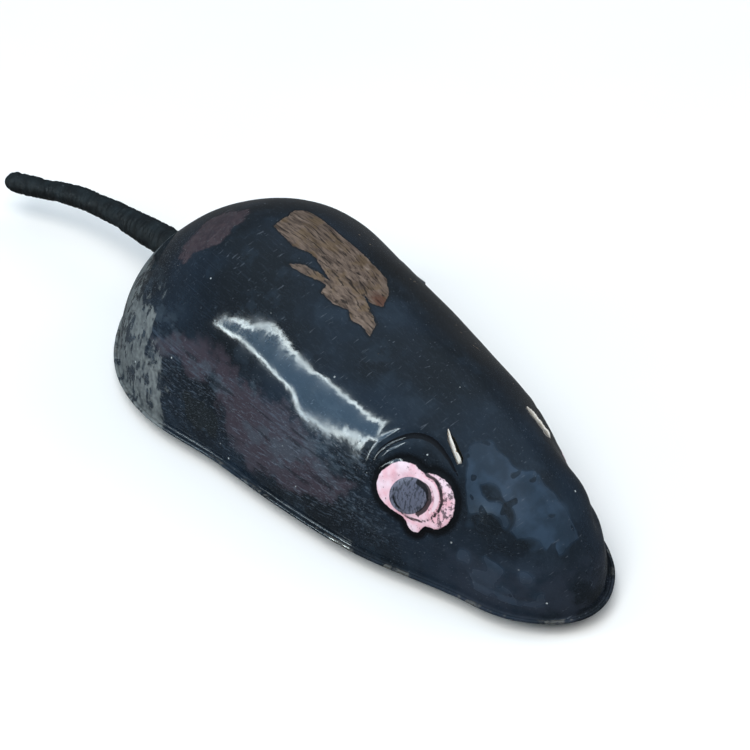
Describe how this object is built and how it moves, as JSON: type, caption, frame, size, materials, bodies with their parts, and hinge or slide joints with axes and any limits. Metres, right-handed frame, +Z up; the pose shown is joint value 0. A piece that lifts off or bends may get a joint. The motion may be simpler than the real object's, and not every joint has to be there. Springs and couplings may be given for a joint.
{
  "type": "clockwork mouse",
  "caption": "Clockwork tin mouse: an open-bottomed pressed tin shell over a spring motor with a gear train, tyred drive wheels, a front wheel and a rubber tail.",
  "frame": {"origin": "on the ground, at the centre of the whole mouse's box seen from above", "axes": "+Z up, nose towards -Y, tail towards +Y, the mouse's left side towards +X"},
  "size_m": [0.044, 0.1279, 0.0292],
  "materials": {
    "enamel": "gloss blue-black enamel, chipped and worn",
    "tinplate": "bright tinplate, dulled",
    "steel": "bright turned steel",
    "blued_spring": "blued spring steel",
    "brass": "stamped brass, aged",
    "rubber": "hardened black rubber",
    "leather": "torn pale leather edge"
  },
  "bodies": {
    "chassis": {"body_shell": "enamel", "tail": "rubber", "left_ear_stub": "leather", "right_ear_stub": "leather", "left_side_plate": "tinplate", "right_side_plate": "tinplate", "rear_top_pillar": "steel", "rear_bottom_pillar": "steel", "front_top_pillar": "steel", "spring_pillar": "steel", "rear_cross_strap": "tinplate", "front_cross_strap": "tinplate", "mainspring": "blued_spring", "front_wheel_arm": "tinplate", "arm_rivet": "steel", "front_axle": "steel"},
    "winding_parts": {"winding_arbor": "steel", "ratchet_wheel": "steel"},
    "great_wheel_parts": {"great_wheel": "brass", "click_spring": "blued_spring", "click_rivet": "brass"},
    "intermediate_parts": {"intermediate_arbor": "steel", "intermediate_pinion": "steel", "intermediate_wheel": "brass"},
    "drive_parts": {"drive_axle": "steel", "axle_pinion": "steel", "left_drive_wheel": "tinplate", "right_drive_wheel": "tinplate", "left_tyre": "rubber", "right_tyre": "rubber"},
    "front_wheel_parts": {"front_wheel": "tinplate"}
  },
  "joints": [
    {"name": "drive_axle_turn", "type": "hinge", "parent": "chassis", "child": "drive_parts", "pos_m": [0, 0.01195, 0.008], "axis": [1, 0, 0], "continuous": true},
    {"name": "intermediate_turn", "type": "hinge", "parent": "chassis", "child": "intermediate_parts", "pos_m": [0, 0.00725, 0.01683], "axis": [1, 0, 0], "continuous": true},
    {"name": "great_wheel_turn", "type": "hinge", "parent": "chassis", "child": "great_wheel_parts", "pos_m": [0, -0.00605, 0.0145], "axis": [1, 0, 0], "continuous": true},
    {"name": "winding_turn", "type": "hinge", "parent": "chassis", "child": "winding_parts", "pos_m": [0, -0.00605, 0.0145], "axis": [-1, 0, 0], "range_deg": [0, 1800], "deforming": ["mainspring", "click_spring"]},
    {"name": "front_wheel_turn", "type": "hinge", "parent": "chassis", "child": "front_wheel_parts", "pos_m": [0, -0.04405, 0.0045], "axis": [1, 0, 0], "continuous": true}
  ],
  "couplings": [
    {"joint": "intermediate_turn", "follows": "drive_axle_turn", "ratio": -0.33333},
    {"joint": "great_wheel_turn", "follows": "drive_axle_turn", "ratio": 0.075758}
  ]
}
